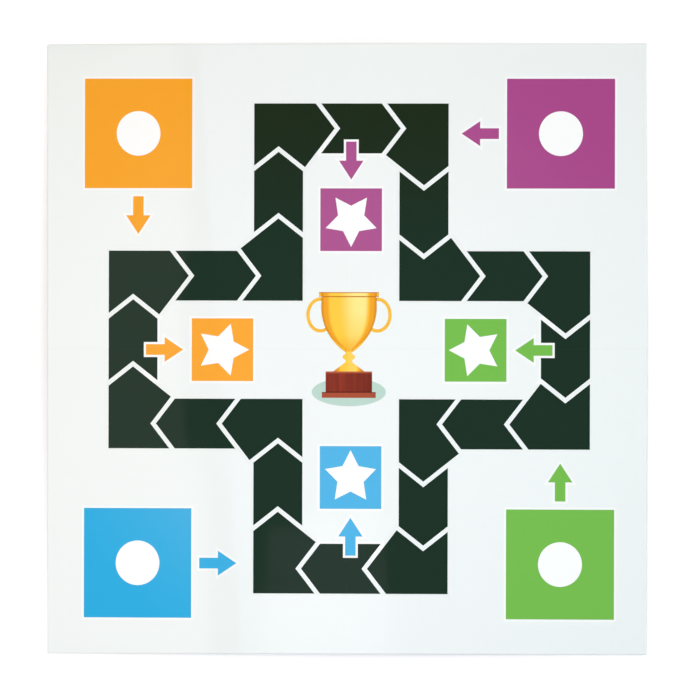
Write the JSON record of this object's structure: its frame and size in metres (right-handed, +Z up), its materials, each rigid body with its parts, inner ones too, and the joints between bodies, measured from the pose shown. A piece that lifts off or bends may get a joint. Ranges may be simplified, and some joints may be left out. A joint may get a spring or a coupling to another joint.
{
  "type": "folding game board",
  "caption": "Square folding game board, opened flat, with a printed cross-shaped race track, corner home squares and finish squares; it folds twice for storage.",
  "frame": {"origin": "middle of the open board, on the surface that it lies on", "axes": "+Z up out of the printed side, +Y to the rear edge, which is the top of the picture, +X to the right"},
  "size_m": [0.4, 0.4, 0.0026],
  "materials": {
    "greyboard": "matte",
    "face_paper": "satin",
    "liner_paper": "matte",
    "ground_ink": "gloss",
    "track_ink": "gloss",
    "white_ink": "gloss",
    "orange_ink": "gloss",
    "purple_ink": "gloss",
    "green_ink": "gloss",
    "blue_ink": "gloss",
    "gold_ink": "gloss",
    "brown_ink": "gloss",
    "pale_green_ink": "gloss"
  },
  "bodies": {
    "front_left_panel": {"back_liner_front_left": "liner_paper", "centre_fold_hinge": "liner_paper", "core_board_front_left": "greyboard", "cup_print_front_left": "gold_ink", "face_sheet_front_left": "face_paper", "finish_print_blue_front_left": "blue_ink", "finish_print_orange_front_left": "orange_ink", "ground_print_front_left": "ground_ink", "home_print_front_left": "blue_ink", "left_fold_hinge": "face_paper", "oval_print_front_left": "pale_green_ink", "plinth_print_front_left": "brown_ink", "track_print_front_left": "track_ink", "white_print_front_left": "white_ink"},
    "front_right_panel": {"back_liner_front_right": "liner_paper", "core_board_front_right": "greyboard", "cup_print_front_right": "gold_ink", "face_sheet_front_right": "face_paper", "finish_print_blue_front_right": "blue_ink", "finish_print_green_front_right": "green_ink", "ground_print_front_right": "ground_ink", "home_print_front_right": "green_ink", "oval_print_front_right": "pale_green_ink", "plinth_print_front_right": "brown_ink", "right_fold_hinge": "face_paper", "track_print_front_right": "track_ink", "white_print_front_right": "white_ink"},
    "rear_left_panel": {"back_liner_rear_left": "liner_paper", "core_board_rear_left": "greyboard", "cup_print_rear_left": "gold_ink", "face_sheet_rear_left": "face_paper", "finish_print_orange_rear_left": "orange_ink", "finish_print_purple_rear_left": "purple_ink", "ground_print_rear_left": "ground_ink", "home_print_rear_left": "orange_ink", "track_print_rear_left": "track_ink", "white_print_rear_left": "white_ink"},
    "rear_right_panel": {"back_liner_rear_right": "liner_paper", "core_board_rear_right": "greyboard", "cup_print_rear_right": "gold_ink", "face_sheet_rear_right": "face_paper", "finish_print_green_rear_right": "green_ink", "finish_print_purple_rear_right": "purple_ink", "ground_print_rear_right": "ground_ink", "home_print_rear_right": "purple_ink", "track_print_rear_right": "track_ink", "white_print_rear_right": "white_ink"}
  },
  "joints": [
    {"name": "right_fold", "type": "hinge", "parent": "rear_right_panel", "child": "front_right_panel", "pos_m": [0.1, 0, 0.0028], "axis": [-1, 0, 0], "range_deg": [0, 180], "deforming": ["right_fold_hinge"]},
    {"name": "centre_fold", "type": "hinge", "parent": "front_right_panel", "child": "front_left_panel", "pos_m": [0, -0.1, -0.00015], "axis": [0, -1, 0], "range_deg": [0, 180], "deforming": ["centre_fold_hinge"]},
    {"name": "left_fold", "type": "hinge", "parent": "front_left_panel", "child": "rear_left_panel", "pos_m": [-0.1, 0, 0.0028], "axis": [1, 0, 0], "range_deg": [0, 180], "deforming": ["left_fold_hinge"]}
  ]
}
